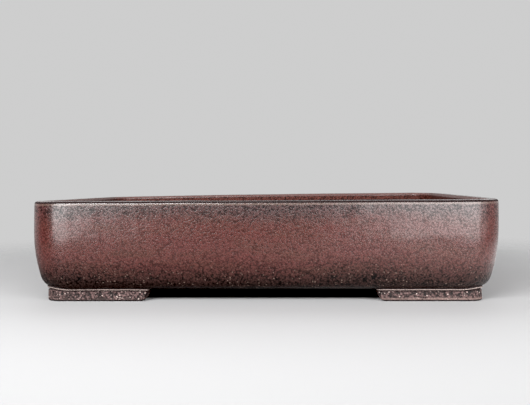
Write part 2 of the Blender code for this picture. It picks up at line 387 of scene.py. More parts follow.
def new_tree(name, inputs):
    """An empty Geometry Nodes tree with named inputs, and its recipe."""
    tree = bpy.data.node_groups.new(name, "GeometryNodeTree")
    tree.interface.new_socket("Geometry", in_out="INPUT", socket_type="NodeSocketGeometry")
    tree.interface.new_socket("Geometry", in_out="OUTPUT", socket_type="NodeSocketGeometry")
    for label, kind, value in inputs:
        socket = tree.interface.new_socket(label, in_out="INPUT", socket_type=kind)
        if value is not None:
            socket.default_value = value
    return tree, Recipe(tree)


def finish_tree(recipe, geometry, material):
    """Ends a tree in Realize Instances, Set Shade Smooth and Set Material."""
    solid = recipe.node("GeometryNodeRealizeInstances", None, {"Geometry": geometry})
    smooth = recipe.node("GeometryNodeSetShadeSmooth", None, {"Geometry": solid})
    coloured = recipe.node("GeometryNodeSetMaterial", None, {"Geometry": smooth, "Material": material})
    recipe.node("NodeGroupOutput", None, {"Geometry": coloured})


def store(recipe, geometry, name, kind, value):
    settings = {"data_type": kind, "domain": "POINT"}
    sockets = {"Geometry": geometry, "Name": name, "Value": value}
    return recipe.node("GeometryNodeStoreNamedAttribute", settings, sockets)


def stored(recipe, name, kind):
    return recipe.node("GeometryNodeInputNamedAttribute", {"data_type": kind}, {"Name": name})


def side_strip_tree():
    """Sweeps a section along one side of the pot, from the middle of one corner to that of the next."""
    numbers = [("Length", POT_LENGTH), ("Breadth", POT_BREADTH), ("Corner Radius", CORNER_RADIUS)]
    numbers += [("Step", STRIP_STEP), ("Turn", 0.0), ("Press Depth", 0.0), ("Press Spacing", PRESS_SPACING)]
    inputs = [(label, "NodeSocketFloat", value) for label, value in numbers]
    tree, recipe = new_tree("side_strip", inputs + [("Material", "NodeSocketMaterial", None)])
    outline = recipe.node("NodeGroupInput", None, None, "Geometry")
    length, breadth, radius, step, turn, press_depth, press_spacing = (
        outline.also(label) for label, _ in numbers
    )

    # The path along the widest outline, as points with the direction that faces outwards.
    quarter = math.pi / 4
    half_straight = length / 2 - radius
    whole = 2 * (half_straight + radius * quarter)
    count = recipe.math("CEIL", whole / step)
    index = recipe.node("GeometryNodeInputIndex")
    along = (index / count - 0.5) * whole
    side = recipe.math("SIGN", along)
    straight = recipe.math("MINIMUM", recipe.math("ABSOLUTE", along), half_straight)
    angle = (recipe.math("ABSOLUTE", along) - straight) / radius
    sine, cosine = recipe.math("SINE", angle), recipe.math("COSINE", angle)
    place = recipe.vector(side * (straight + radius * sine), radius - radius * cosine - breadth / 2, 0.0)
    facing = recipe.vector(side * sine, 0.0 - cosine, 0.0)
    about_z = {"rotation_type": "Z_AXIS"}
    place = recipe.node("ShaderNodeVectorRotate", about_z, {"Vector": place, "Angle": turn})
    facing = recipe.node("ShaderNodeVectorRotate", about_z, {"Vector": facing, "Angle": turn})
    path = recipe.node("GeometryNodeMeshLine", {"mode": "OFFSET"}, {"Count": count + 1})
    path = store(recipe, path, "path_facing", "FLOAT_VECTOR", facing)
    path = store(recipe, path, "path_along", "FLOAT", along)
    path = store(recipe, path, "path_place", "FLOAT_VECTOR", place)
    path = recipe.node("GeometryNodeSetPosition", None, {"Geometry": path, "Position": place})
    path = recipe.node("GeometryNodeMeshToCurve", None, {"Mesh": path})

    # The section keeps its own inset and height as it is swept.
    position = recipe.node("GeometryNodeInputPosition")
    section = store(recipe, outline, "section_place", "FLOAT_VECTOR", position)
    section = recipe.node("GeometryNodeMeshToCurve", None, {"Mesh": section})
    strip = recipe.node(
        "GeometryNodeCurveToMesh", None, {"Curve": path, "Profile Curve": section, "Fill Caps": True}
    )
    inset, height, _ = recipe.parts(stored(recipe, "section_place", "FLOAT_VECTOR"))
    wave = recipe.math("SINE", stored(recipe, "path_along", "FLOAT") * math.pi / press_spacing)
    on_path = stored(recipe, "path_place", "FLOAT_VECTOR")
    uneven = recipe.noise(on_path, PRESS_PATCH, 1.0, 0.5, WOBBLE_SEED)
    dents = recipe.math("ABSOLUTE", wave) + uneven - 1.0
    pressed = stored(recipe, "thumbed", "FLOAT") * press_depth * dents
    inward = recipe.scaled(stored(recipe, "path_facing", "FLOAT_VECTOR"), pressed - inset)
    swept = on_path + inward + recipe.vector(0.0, 0.0, height + pressed)
    strip = recipe.node("GeometryNodeSetPosition", None, {"Geometry": strip, "Position": swept})
    moved = hand_moved(recipe, recipe.node("GeometryNodeInputPosition"))
    strip = recipe.node("GeometryNodeSetPosition", None, {"Geometry": strip, "Offset": moved})
    for name in ("path_facing", "path_along", "path_place", "section_place", "thumbed"):
        strip = recipe.node("GeometryNodeRemoveAttribute", None, {"Geometry": strip, "Name": name})
    finish_tree(recipe, strip, outline.also("Material"))
    return tree


def hand_wobble_tree():
    """Moves a finished clay piece as the hand and the kiln moved the sides beside it."""
    tree, recipe = new_tree("hand_wobble", [("Material", "NodeSocketMaterial", None)])
    piece = recipe.node("NodeGroupInput", None, None, "Geometry")
    moved = hand_moved(recipe, recipe.node("GeometryNodeInputPosition"))
    piece_moved = recipe.node("GeometryNodeSetPosition", None, {"Geometry": piece, "Offset": moved})
    finish_tree(recipe, piece_moved, piece.also("Material"))
    return tree


# Making the pieces.


def bake(name, mesh, tree, inputs):
    """Runs a tree on a mesh and keeps the result as a plain closed mesh that faces outwards."""
    piece = bpy.data.objects.new(name, mesh)
    bpy.context.scene.collection.objects.link(piece)
    modifier = piece.modifiers.new(tree.name, "NODES")
    modifier.node_group = tree
    for item in tree.interface.items_tree:
        if item.in_out == "INPUT" and item.name in inputs:
            modifier[item.identifier] = inputs[item.name]
    depsgraph = bpy.context.evaluated_depsgraph_get()
    baked = bpy.data.meshes.new_from_object(
        piece.evaluated_get(depsgraph), preserve_all_data_layers=True, depsgraph=depsgraph
    )
    piece.modifiers.clear()
    piece.data = baked
    baked.name = name
    bm = bmesh.new()
    bm.from_mesh(baked)
    if bm.calc_volume(signed=True) < 0.0:
        bmesh.ops.reverse_faces(bm, faces=bm.faces)
    bm.to_mesh(baked)
    bm.free()
    baked.set_sharp_from_angle(angle=SMOOTH_ANGLE)
    return piece


def keep(piece, node):
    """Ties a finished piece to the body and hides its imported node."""
    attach(piece, "root")
    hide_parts(node)


def mark_heights(mesh, heights):
    """Remembers the height each point was made at, so that bands of finish follow the moved clay."""
    made = mesh.attributes.new("made_height", "FLOAT", "POINT")
    made.data.foreach_set("value", heights)


def section_mesh(name, section, thumbed=False):
    """A closed outline as a mesh, with the share of inner finish and how far each point is thumbed."""
    mesh = bpy.data.meshes.new(name)
    edges = [(i, (i + 1) % len(section)) for i in range(len(section))]
    mesh.from_pydata([(inset, height, 0.0) for inset, height, _ in section], edges, [])
    finish = mesh.attributes.new("inner_finish", "FLOAT", "POINT")
    finish.data.foreach_set("value", [share for _, _, share in section])
    pressed = mesh.attributes.new("thumbed", "FLOAT", "POINT")
    low, high = min(point[0] for point in section), max(point[0] for point in section)
    free = COIL_BASE + SECTION_STEP / 4
    weights = [
        math.sin(math.pi * (inset - low) / (high - low)) if thumbed and height > free else 0.0
        for inset, height, _ in section
    ]
    pressed.data.foreach_set("value", weights)
    mark_heights(mesh, [height for _, height, _ in section])
    return mesh


SIDES = {
    "front": (0.0, POT_LENGTH, POT_BREADTH),
    "right": (90.0, POT_BREADTH, POT_LENGTH),
    "back": (180.0, POT_LENGTH, POT_BREADTH),
    "left": (270.0, POT_BREADTH, POT_LENGTH),
}


def make_side_strips(tree, kind, section, material, press_depth=0.0):
    """The four strips of one kind: walls, rims or coils."""
    for side, (turn, length, breadth) in SIDES.items():
        mesh = section_mesh(f"{kind}_{side}_section", section, press_depth > 0.0)
        inputs = {
            "Length": length,
            "Breadth": breadth,
            "Turn": math.radians(turn),
            "Press Depth": press_depth,
            "Material": material,
        }
        keep(bake(f"clay_{kind}_{side}", mesh, tree, inputs), f"{kind}_{side}")


def rounded_outline(corners, step):
    """A closed outline with rounded corners; each corner is (x, y, radius)."""
    points = []
    for i, (x, y, radius) in enumerate(corners):
        here = Vector((x, y))
        before = (Vector(corners[i - 1][:2]) - here).normalized()
        after = (Vector(corners[(i + 1) % len(corners)][:2]) - here).normalized()
        bend = (before + after).normalized()
        reach = radius / math.tan(before.angle(after) / 2)
        centre = here + bend * (radius / math.sin(before.angle(after) / 2))
        start, end = here + before * reach - centre, here + after * reach - centre
        steps = max(2, math.ceil(radius * start.angle(end) / step))
        sweep = start.angle_signed(end)
        points.append([centre + Matrix.Rotation(-sweep * k / steps, 2) @ start for k in range(steps + 1)])
    outline = []
    for i, corner in enumerate(points):
        outline += corner
        gap = points[(i + 1) % len(points)][0] - corner[-1]
        count = max(1, round(gap.length / step))
        outline += [corner[-1] + gap * k / count for k in range(1, count)]
    return outline


def facing_of(points):
    """The outward direction at each point of a closed outline that runs anticlockwise."""
    facings = []
    for i, point in enumerate(points):
        run = (points[(i + 1) % len(points)] - point).normalized() + (point - points[i - 1]).normalized()
        facings.append(Vector((run.y, -run.x)).normalized())
    return facings


def rectangle(half_x, half_y):
    return [(-half_x, -half_y), (half_x, -half_y), (half_x, half_y), (-half_x, half_y)]


def inset_of(x, y):
    """How far a point of the plan is inside the pot's widest outline."""
    over_x = abs(x) - (POT_LENGTH / 2 - CORNER_RADIUS)
    over_y = abs(y) - (POT_BREADTH / 2 - CORNER_RADIUS)
    beyond = math.hypot(max(over_x, 0.0), max(over_y, 0.0)) + min(max(over_x, over_y), 0.0)
    return CORNER_RADIUS - beyond


def foot_levels():
    """The side of a foot from the ground up, as (how far inside the plan, height)."""
    edge = arc((FOOT_EDGE_ROUNDING, FOOT_EDGE_ROUNDING), FOOT_EDGE_ROUNDING, -90.0, 0.0, FOOT_EDGE_STEPS)
    bead_foot = FOOT_TOP - FOOT_BEAD_HEIGHT
    groove_foot = bead_foot - FOOT_GROOVE_WIDTH
    face = [(0.0, level) for level in levels(FOOT_EDGE_ROUNDING, groove_foot, FOOT_STEP)[1:]]
    groove = [(FOOT_GROOVE_DEPTH, groove_foot + FOOT_GROOVE_WIDTH * share) for share in FOOT_GROOVE_SHARES]
    bead = []
    for k in range(1, BEAD_STEPS + 1):
        proud = FOOT_BEAD_PROUD * math.sin(math.pi * (0.12 + 0.6 * k / BEAD_STEPS))
        bead.append((-proud, bead_foot + FOOT_BEAD_HEIGHT * k / BEAD_STEPS))
    return edge + face + groove + bead + [(bead[-1][0] + FOOT_SUNK, FOOT_TOP + FOOT_SUNK)]


def foot_mesh(name, sign_x, sign_y):
    """An angled foot round one corner: its top follows the pot's underside and its two ends slope in."""
    x_out, y_out = POT_LENGTH / 2 - FOOT_INSET[sign_x], POT_BREADTH / 2 - FOOT_INSET[-1]
    x_in, y_in = x_out - FOOT_THICKNESS, y_out - FOOT_THICKNESS
    x_end, y_end = x_out - FOOT_LENGTH_X[sign_x], y_out - FOOT_LENGTH_Y
    outline = rounded_outline(
        [
            (x_out, y_end, FOOT_END_ROUNDING),
            (x_out, y_out, FOOT_CORNER_RADIUS),
            (x_end, y_out, FOOT_END_ROUNDING),
            (x_end, y_in, FOOT_END_ROUNDING),
            (x_in, y_in, FOOT_INNER_RADIUS),
            (x_in, y_end, FOOT_END_ROUNDING),
        ],
        FOOT_STEP,
    )
    facings = facing_of(outline)
    count = len(outline)
    verts, heights = [], []
    for inside, level in foot_levels():
        slope = FOOT_END_TAPER * (1.0 - min(level / FOOT_TOP, 1.0)) ** 1.5
        low = max(1.0 - level / FOOT_END_CURL, 0.0)
        slope += FOOT_END_CURL * (1.0 - math.sqrt(1.0 - low**2)) * FOOT_END_CURL_SHARE
        for point, facing in zip(outline, facings):
            x, y = point - facing * inside
            share_x = min(max((x_in - x) / (x_in - x_end), 0.0), 1.0)
            share_y = min(max((y_in - y) / (y_in - y_end), 0.0), 1.0)
            x, y = x + slope * share_x**2, y + slope * share_y**2
            lift = underside_at(inset_of(*point)) - FOOT_TOP
            rise = max(level - FOOT_EDGE_ROUNDING, 0.0) / (FOOT_TOP - FOOT_EDGE_ROUNDING)
            verts.append((sign_x * x, sign_y * y, level + lift * rise))
            heights.append(level)
    faces = []
    rows = len(verts) // count
    for row in range(rows - 1):
        for i in range(count):
            here, after = row * count + i, row * count + (i + 1) % count
            faces.append((here, after, after + count, here + count))
    faces.append(tuple(range(count - 1, -1, -1)))
    faces.append(tuple(range((rows - 1) * count, rows * count)))
    mesh = bpy.data.meshes.new(name)
    mesh.from_pydata(verts, [], faces)
    mark_heights(mesh, heights)
    return mesh


def floor_holes():
    """Each hole in the floor as (x, y, radius, how far its edge is rounded)."""
    holes = [(side * DRAIN_SPACING / 2, 0.0, DRAIN_RADIUS, DRAIN_EDGE_ROUNDING) for side in (-1, 1)]
    for side_x in (-1, 1):
        for side_y in (-1, 1):
            x, y = side_x * WIRE_SPACING[0] / 2, side_y * WIRE_SPACING[1] / 2
            holes.append((x, y, WIRE_RADIUS, WIRE_EDGE_ROUNDING))
    return holes


def hole_sides(radius):
    return max(LEAST_HOLE_SIDES, math.ceil(4 * math.pi * radius / FLOOR_STEP))


def softened(distance, rounding):
    """How far a rounded edge has dropped at a distance from the hole's wall."""
    if distance >= rounding:
        return 0.0
    return rounding - math.sqrt(max(rounding**2 - (rounding - distance) ** 2, 0.0))


def clear_of_holes(x, y):
    """Whether a point of the floor's net is far enough from every hole."""
    return all(math.hypot(x - hx, y - hy) > r + edge + FLOOR_STEP for hx, hy, r, edge in floor_holes())


def in_a_hole(x, y):
    """Whether a point is inside a hole, whose wall has straight sides."""
    flats = [(hx, hy, r * math.cos(math.pi / hole_sides(r))) for hx, hy, r, _ in floor_holes()]
    return any(math.hypot(x - hx, y - hy) < reach for hx, hy, reach in flats)


def floor_mesh(name):
    """The floor slab: a close net of points round its holes, doubled into a top and an underside."""
    inset = heel_centre()[0] + TOE_WIDTH
    half_x, half_y, radius = POT_LENGTH / 2 - inset, POT_BREADTH / 2 - inset, CORNER_RADIUS - inset
    outline = rounded_outline([(*corner, radius) for corner in rectangle(half_x, half_y)], FLOOR_STEP)
    points = [(point.x, point.y) for point in outline]
    edges = [(i, (i + 1) % len(points)) for i in range(len(points))]
    drops = [0.0] * len(points)
    loops = [(0, len(points))]
    for x, y, hole_radius, rounding in floor_holes():
        sides = hole_sides(hole_radius)
        turns = [math.pi / 2 * step / HOLE_EDGE_STEPS for step in range(HOLE_EDGE_STEPS + 1)]
        rings = [rounding * (1.0 - math.cos(turn)) for turn in turns]
        for ring, away in enumerate([*rings, rounding + FLOOR_STEP / 2]):
            start = len(points)
            for k in range(sides):
                angle = 2 * math.pi * k / sides
                reach = hole_radius + away
                points.append((x + reach * math.cos(angle), y + reach * math.sin(angle)))
                drops.append(softened(away, rounding))
            if ring == 0:
                loops.append((start, sides))
            edges += [(start + k, start + (k + 1) % sides) for k in range(sides)]
    rows, columns = math.ceil(half_y / FLOOR_ROW), math.ceil(half_x / FLOOR_STEP)
    for row in range(-rows, rows + 1):
        for column in range(-columns, columns + 1):
            x, y = (column + 0.5 * (row % 2)) * FLOOR_STEP, row * FLOOR_ROW
            if clear_of_holes(x, y) and inset_of(x, y) > inset + FLOOR_STEP / 2:
                points.append((x, y))
                drops.append(0.0)
    flat = [Vector(point) for point in points]
    found, _, triangles, _, _, _ = delaunay_2d_cdt(flat, edges, [], 0, 1e-7)
    if len(found) != len(points):
        raise RuntimeError("the floor's net has lost or gained points")
    kept = []
    for triangle in triangles:
        x, y = (sum(points[i][axis] for i in triangle) / 3 for axis in (0, 1))
        if not in_a_hole(x, y) and inset_of(x, y) > inset - NET_TOLERANCE:
            kept.append(triangle)
    total = len(points)
    verts = [(x, y, FLOOR_TOP - drop) for (x, y), drop in zip(points, drops)]
    verts += [(x, y, FOOT_TOP + drop) for (x, y), drop in zip(points, drops)]
    faces = list(kept) + [tuple(total + i for i in reversed(triangle)) for triangle in kept]
    for number, (start, count) in enumerate(loops):
        for k in range(count):
            here, after = start + k, start + (k + 1) % count
            wall = (here, here + total, after + total, after)
            faces.append(wall if number == 0 else wall[::-1])
    mesh = bpy.data.meshes.new(name)
    mesh.from_pydata(verts, [], faces)
    return mesh


# Clay finishes. Sizes and heights are in metres.

GREY_FLASH = (0.035, 0.022, 0.022)
RED_CLAY = (0.059, 0.018, 0.016)
WARM_CLAY = (0.053, 0.019, 0.015)
CHOCOLATE = (0.0155, 0.0080, 0.0070)
# Painted light: the lighter red of the corners and ends.
PAINTED_CORNER_RED = (0.083, 0.021, 0.018)
INNER_CLAY = (0.088, 0.026, 0.020)
# Painted highlight on the lip's inner edge.
PAINTED_INNER_LIP_HIGHLIGHT = (0.167, 0.092, 0.084)
FOOT_CLAY = (0.087, 0.055, 0.052)
FOOT_DARK = (0.026, 0.014, 0.013)
WORN_TAN = (0.200, 0.135, 0.120)
# Pale specks, also the colour of the painted highlight on the lip.
PALE_SPECK_AND_PAINTED_HIGHLIGHT = (0.255, 0.180, 0.145)
# Pale foot specks, also the colour of the painted highlight on the bead.
FOOT_SPECK_AND_PAINTED_HIGHLIGHT = (0.420, 0.330, 0.300)
# Dark specks, also the colour of painted shade lines.
DARK_SPECK_AND_PAINTED_SHADE = (0.012, 0.007, 0.007)

# Grain: how far apart its tops are, and how deep it is.
GRAIN_SIZE = 0.0016
FOOT_GRAIN_SIZE = 0.0021
POT_RELIEF = 0.00024
INNER_RELIEF = 0.0003
FOOT_RELIEF = 0.0006

# Specks: how far apart their places are, their radius, the share of places that have one, and a seed.
POT_PALE_SPECKS = (0.0024, 0.0009, 0.60, 5.0)
POT_DARK_SPECKS = (0.0030, 0.0009, 0.45, 6.0)
FOOT_PALE_SPECKS = (0.0025, 0.0010, 0.65, 10.0)
FOOT_DARK_SPECKS = (0.0027, 0.0012, 0.60, 11.0)

# Clouds in the colour: size, detail, roughness and seed.
POT_CLOUDS = (0.11, 3.0, 0.55, 1.0)
POT_PATCHES = (0.045, 3.0, 0.6, 2.0)
INNER_CLOUDS = (0.09, 3.0, 0.55, 1.0)
WIPE_MARKS = (0.05, 4.0, 0.6, 8.0)
FOOT_CLOUDS = (0.03, 3.0, 0.6, 9.0)
PATCH_SQUASH = (1.0, 1.0, 5.0)
WIPE_SQUASH = (1.0, 6.0, 1.0)

# How far the clouds and patches move the bands of colour up and down the wall.
CLOUD_SHIFT = 0.022
PATCH_SHIFT = 0.008

# Where each change of finish begins and where it is whole, as heights up the pot.
FLASH_UP = (0.070, 0.092)
HEEL_DOWN = (0.046, 0.016)
# Painted highlight on the lip's inner edge, from this height up.
PAINTED_INNER_LIP_HIGHLIGHT_UP = (0.0915, 0.0930)
# Painted shade on the underside of the wall, where it overhangs the feet.
PAINTED_UNDERSIDE_SHADE_DOWN = (FOOT_TOP + 0.0010, FOOT_TOP + 0.0002)
WORN_DOWN = (0.0042, 0.0022)
# Painted contact shadow along the foot's lower edge.
PAINTED_CONTACT_SHADOW_DOWN = (0.0020, 0.0014)
# Painted shade in the groove below the bead.
PAINTED_GROOVE_SHADE_UP = (FOOT_TOP - 0.0031, FOOT_TOP - 0.0026)
# Painted highlight on the bead at the top of each foot.
PAINTED_BEAD_HIGHLIGHT_UP = (FOOT_TOP - 0.0019, FOOT_TOP - 0.0015)
# Painted shade along the top of each foot, under the overhanging belly.
PAINTED_FOOT_TOP_SHADE_UP = (FOOT_TOP - 0.0010, FOOT_TOP - 0.0006)
# Painted light towards the corners, from this distance out.
PAINTED_CORNER_LIGHT_OUT = (0.190, 0.222)

# Narrow bands under the lip, a painted highlight and a painted dark line of shade: where each begins, is
# whole, fades and ends.
PAINTED_HIGHLIGHT_BAND = (0.0906, 0.0912, 0.0923, 0.0928)
# The painted dark line of shade where the lip's rounding turns up.
PAINTED_SHADE_LINE_BAND = (0.0926, 0.0931, 0.0942, 0.0947)


def grain(recipe, place, size=GRAIN_SIZE):
    """Sandy grain with rounded tops, from 0 in the pits to 1 on the tops."""
    tops = recipe.smooth(recipe.cells(place, size), 0.95, 0.30)
    uneven = recipe.noise(place, 0.6 * size, 1.0, 0.5) - 0.5
    patchy = recipe.noise(place, 4.0 * size, 2.0, 0.5, 3.0) - 0.5
    return recipe.clamp(tops * 0.75 + uneven * 0.7 + patchy * 0.25 + 0.05)


def specks(recipe, place, spacing, radius, share, seed):
    """Scattered round specks: 1 inside, 0 outside."""
    distance = recipe.cells(place, spacing, seed)
    pick = recipe.node("ShaderNodeSeparateColor", None, {0: distance.also("Color")})
    chosen = recipe.math("LESS_THAN", pick, share)
    return recipe.smooth(distance, radius / spacing, 0.4 * radius / spacing) * chosen


def shaded(recipe, colour, shade):
    return colour * recipe.vector(shade, shade, shade)


def made_with(recipe, name):
    """A number that the clay's points carry."""
    return recipe.node("ShaderNodeAttribute", {"attribute_name": name}, None, "Fac")


def start_material(name):
    material = bpy.data.materials.new(name)
    material.use_nodes = True
    material.node_tree.nodes.clear()
    recipe = Recipe(material.node_tree)
    place = recipe.node("ShaderNodeTexCoord", None, None, "Object")
    return material, recipe, place


def finish_material(recipe, colour, roughness, height, depth, constants=None):
    """Ends a material: height is in shares of depth, and depth is in metres."""
    bump = recipe.node("ShaderNodeBump", None, {"Strength": 1.0, "Distance": depth, "Height": height})
    sockets = {"Base Color": colour, "Roughness": roughness, "Normal": bump, **(constants or {})}
    shader = recipe.node("ShaderNodeBsdfPrincipled", None, sockets)
    recipe.node("ShaderNodeOutputMaterial", None, {"Surface": shader})


def pot_clay(name):
    """Fired red-brown stoneware: grey flash below the lip, red at the belly, chocolate at the heel."""
    material, recipe, place = start_material(name)
    x, _, z = recipe.parts(place)
    clouds = recipe.noise(place, *POT_CLOUDS)
    patches = recipe.noise(place * PATCH_SQUASH, *POT_PATCHES)
    sand = grain(recipe, place)
    light = specks(recipe, place, *POT_PALE_SPECKS)
    dark = specks(recipe, place, *POT_DARK_SPECKS)

    # The colour changes up the wall. Towards the corners and on the ends a lighter red is painted light,
    # standing in for the lamps' light that the turning faces lose.
    level = z + (clouds - 0.5) * CLOUD_SHIFT + (patches - 0.5) * PATCH_SHIFT
    flashed = recipe.smooth(level, *FLASH_UP)
    heel = recipe.smooth(level, *HEEL_DOWN)
    corner = recipe.smooth(recipe.math("ABSOLUTE", x), *PAINTED_CORNER_LIGHT_OUT)
    body = recipe.mix(recipe.smooth(patches, 0.35, 0.7), RED_CLAY, WARM_CLAY)
    body = recipe.mix(flashed * 0.85, body, GREY_FLASH)
    body = recipe.mix(heel, body, CHOCOLATE)
    # Painted light: the corners and ends are painted a lighter red.
    body = recipe.mix(corner * (1.0 - heel) * 0.6, body, PAINTED_CORNER_RED)

    # Sand and specks show most in the grey flash and at the heel.
    contrast = 0.75 + flashed * 0.6 + heel * 0.9
    shade = 1.0 + (sand - 0.55) * contrast * 1.25
    body = shaded(recipe, body, shade)
    body = recipe.mix(light * (0.07 + heel * 0.33), body, PALE_SPECK_AND_PAINTED_HIGHLIGHT)
    body = recipe.mix(dark * (0.25 + flashed * 0.35), body, DARK_SPECK_AND_PAINTED_SHADE)

    # Narrow bands by the height and the face at which the clay was made. Painted highlights lie on the
    # lip's outer and inner edges, a painted dark line of shade above the outer one, and painted shade on
    # the underside by the feet.
    made = made_with(recipe, "made_height")
    inner = made_with(recipe, "inner_finish")
    outside = recipe.smooth(inner, 0.30, 0.02)
    painted_highlight = recipe.band(made, *PAINTED_HIGHLIGHT_BAND) * outside
    painted_shade_line = recipe.band(made, *PAINTED_SHADE_LINE_BAND) * outside
    # Painted highlight: the lip's inner edge is painted paler where the front light catches it.
    rubbed = recipe.smooth(made, *PAINTED_INNER_LIP_HIGHLIGHT_UP) * recipe.band(inner, 0.20, 0.45, 0.60, 0.80)
    # Painted shade on the wall's underside by the feet.
    painted_joint_shade = recipe.smooth(made, *PAINTED_UNDERSIDE_SHADE_DOWN)
    # Painted highlight: the outer edge of the lip is painted paler where the lamps' highlight falls.
    body = recipe.mix(painted_highlight * 0.22, body, PALE_SPECK_AND_PAINTED_HIGHLIGHT)
    # Painted shade: a dark line where the lip's rounding turns up, and the underside beside the feet.
    body = recipe.mix(recipe.clamp(painted_shade_line * 0.9 + painted_joint_shade), body, DARK_SPECK_AND_PAINTED_SHADE)
    dry = recipe.mix(clouds, INNER_CLAY, WARM_CLAY)
    body = recipe.mix(inner, body, shaded(recipe, dry, shade))
    # Painted highlight on the lip's inner edge.
    body = recipe.mix(rubbed * 0.6, body, PAINTED_INNER_LIP_HIGHLIGHT)

    # The tops of the grain are burnished; the pits, the heel and the inside are dry.
    roughness = 0.31 - sand * 0.12 + inner * 0.45 + heel * 0.20 - painted_highlight * 0.08 + painted_shade_line * 0.25
    height = sand + light * 0.3 - dark * 0.4 + patches * 0.8
    burnished = 0.72 - heel * 0.66 - inner * 0.75 - painted_shade_line * 0.7
    gloss = recipe.clamp(burnished * (0.60 + sand * 0.75) + painted_highlight * 0.4)
    polish = {"Specular IOR Level": 0.18, "Coat Weight": gloss, "Coat Roughness": 0.21}
    finish_material(recipe, body, roughness, height, POT_RELIEF, polish)
    return material


def inner_clay(name):
    """The unpolished clay of the floor and the seams inside."""
    material, recipe, place = start_material(name)
    clouds = recipe.noise(place, *INNER_CLOUDS)
    wiped = recipe.noise(place * WIPE_SQUASH, *WIPE_MARKS)
    sand = grain(recipe, place)
    body = recipe.mix(clouds, INNER_CLAY, WARM_CLAY)
    body = recipe.mix(wiped * 0.4, body, CHOCOLATE)
    body = shaded(recipe, body, 0.74 + sand * 0.5)
    finish_material(recipe, body, 0.62 + sand * 0.15, sand + wiped * 1.2, INNER_RELIEF)
    return material


def foot_clay(name):
    """Coarser pressed clay, speckled, rubbed pale along the lower edge."""
    material, recipe, place = start_material(name)
    x, _, z = recipe.parts(place)
    sand = grain(recipe, place, FOOT_GRAIN_SIZE)
    clouds = recipe.noise(place, *FOOT_CLOUDS)
    light = specks(recipe, place, *FOOT_PALE_SPECKS)
    dark = specks(recipe, place, *FOOT_DARK_SPECKS)
    edge = recipe.smooth(z + (clouds - 0.5) * 0.002, *WORN_DOWN)
    worn = edge * (0.12 + 0.5 * recipe.smooth(x, 0.0, POT_LENGTH / 3))
    made = made_with(recipe, "made_height")
    # Painted highlight: the bead is painted pale where light catches its rounded edge.
    bead = recipe.smooth(made, *PAINTED_BEAD_HIGHLIGHT_UP)
    # Painted shade in the groove.
    groove = recipe.smooth(made, *PAINTED_GROOVE_SHADE_UP) * (1.0 - bead)
    # Painted shade along the top of the foot, under the belly.
    painted_joint_shade = recipe.smooth(made, *PAINTED_FOOT_TOP_SHADE_UP)
    # Painted contact shadow where the foot meets the table.
    ground = recipe.smooth(made, *PAINTED_CONTACT_SHADOW_DOWN)
    body = shaded(recipe, recipe.mix(clouds, FOOT_DARK, FOOT_CLAY), 0.08 + sand * sand * 2.5)
    # Pale specks, and the painted highlight on the bead.
    body = recipe.mix(recipe.clamp(light * 0.9 + bead * 0.75), body, FOOT_SPECK_AND_PAINTED_HIGHLIGHT)
    body = recipe.mix(worn, body, WORN_TAN)
    # Dark specks, with painted shade in the groove, along the top and at the foot's lower edge.
    dark_specks_and_painted_shade = dark * (1.0 - bead) + groove * 0.85 + painted_joint_shade + ground
    body = recipe.mix(recipe.clamp(dark_specks_and_painted_shade), body, DARK_SPECK_AND_PAINTED_SHADE)
    height = sand + light * 0.6 - dark
    finish_material(recipe, body, 0.60 + sand * 0.2, height, FOOT_RELIEF, {"Specular IOR Level": 0.25})
    return material


# The pot.

strip_tree = side_strip_tree()
wobble_tree = hand_wobble_tree()
make_side_strips(strip_tree, "wall", wall_section(), pot_clay("body_stoneware"))
make_side_strips(strip_tree, "rim", rim_section(), pot_clay("rim_stoneware"))
coil_finish = inner_clay("coil_stoneware")
make_side_strips(strip_tree, "seam_coil", coil_section(), coil_finish, PRESS_DEPTH)
keep(
    bake("clay_floor_slab", floor_mesh("floor"), wobble_tree, {"Material": inner_clay("floor_stoneware")}),
    "floor_slab",
)
foot_finish = foot_clay("foot_stoneware")
for depth_side, sign_y in (("front", -1), ("back", 1)):
    for length_side, sign_x in (("left", -1), ("right", 1)):
        node = f"foot_{depth_side}_{length_side}"
        plain = foot_mesh(node, sign_x, sign_y)
        foot = bake(f"clay_{node}", plain, wobble_tree, {"Material": foot_finish})
        keep(foot, node)


# Stage, lights and camera. The table and the air have one tone for the camera and another for the clay.

TABLE_SIDES = 96
TABLE_RADIUS = 2.0
TABLE_FADE = (0.32, 0.80)
TABLE_SEEN = (0.48, 0.48, 0.485)
TABLE_FOR_CLAY_LEFT = (0.21, 0.21, 0.21)
TABLE_FOR_CLAY_RIGHT = (0.92, 0.92, 0.92)
TABLE_LEFT_TO_RIGHT = (-0.08, 0.28)
# A painted shadow: the dark card under the pot.
PAINTED_SHADOW_COLOUR = (0.012, 0.010, 0.010, 1.0)
CARD_INSET = 0.038
CARD_HEIGHT = 0.0003

BACKDROP = (0.62, 0.62, 0.62)
BACK_GLOW = 0.45
ROOM_GLOW = 0.06
CEILING_GLOW = 0.04

# Soft lights: azimuth and elevation in degrees; distance, width and height in metres; power in watts.
# Azimuth 0 is straight in front, and a positive one is to the right.
SOFT_LIGHTS = {
    "softbox_left": (-37.0, 9.0, 1.4, 0.86, 0.70, 14.5),
    "softbox_right": (35.0, 9.0, 1.4, 1.26, 0.70, 21.5),
    "wing_right_near": (67.7, 9.0, 1.5, 0.45, 0.70, 2.2),
    "wing_right_far": (84.5, 9.0, 1.5, 0.45, 0.70, 0.5),
    "edge_strip_left": (-29.0, 26.0, 1.4, 1.00, 0.16, 21.0),
    "edge_strip_right": (33.0, 26.0, 1.4, 1.15, 0.16, 7.0),
    "fill_back_left": (-145.0, 30.0, 1.6, 1.10, 0.70, 3.2),
    "fill_back_right": (145.0, 30.0, 1.6, 1.10, 0.70, 3.2),
    "softbox_back": (180.0, 62.0, 1.6, 1.20, 0.80, 7.0),
}

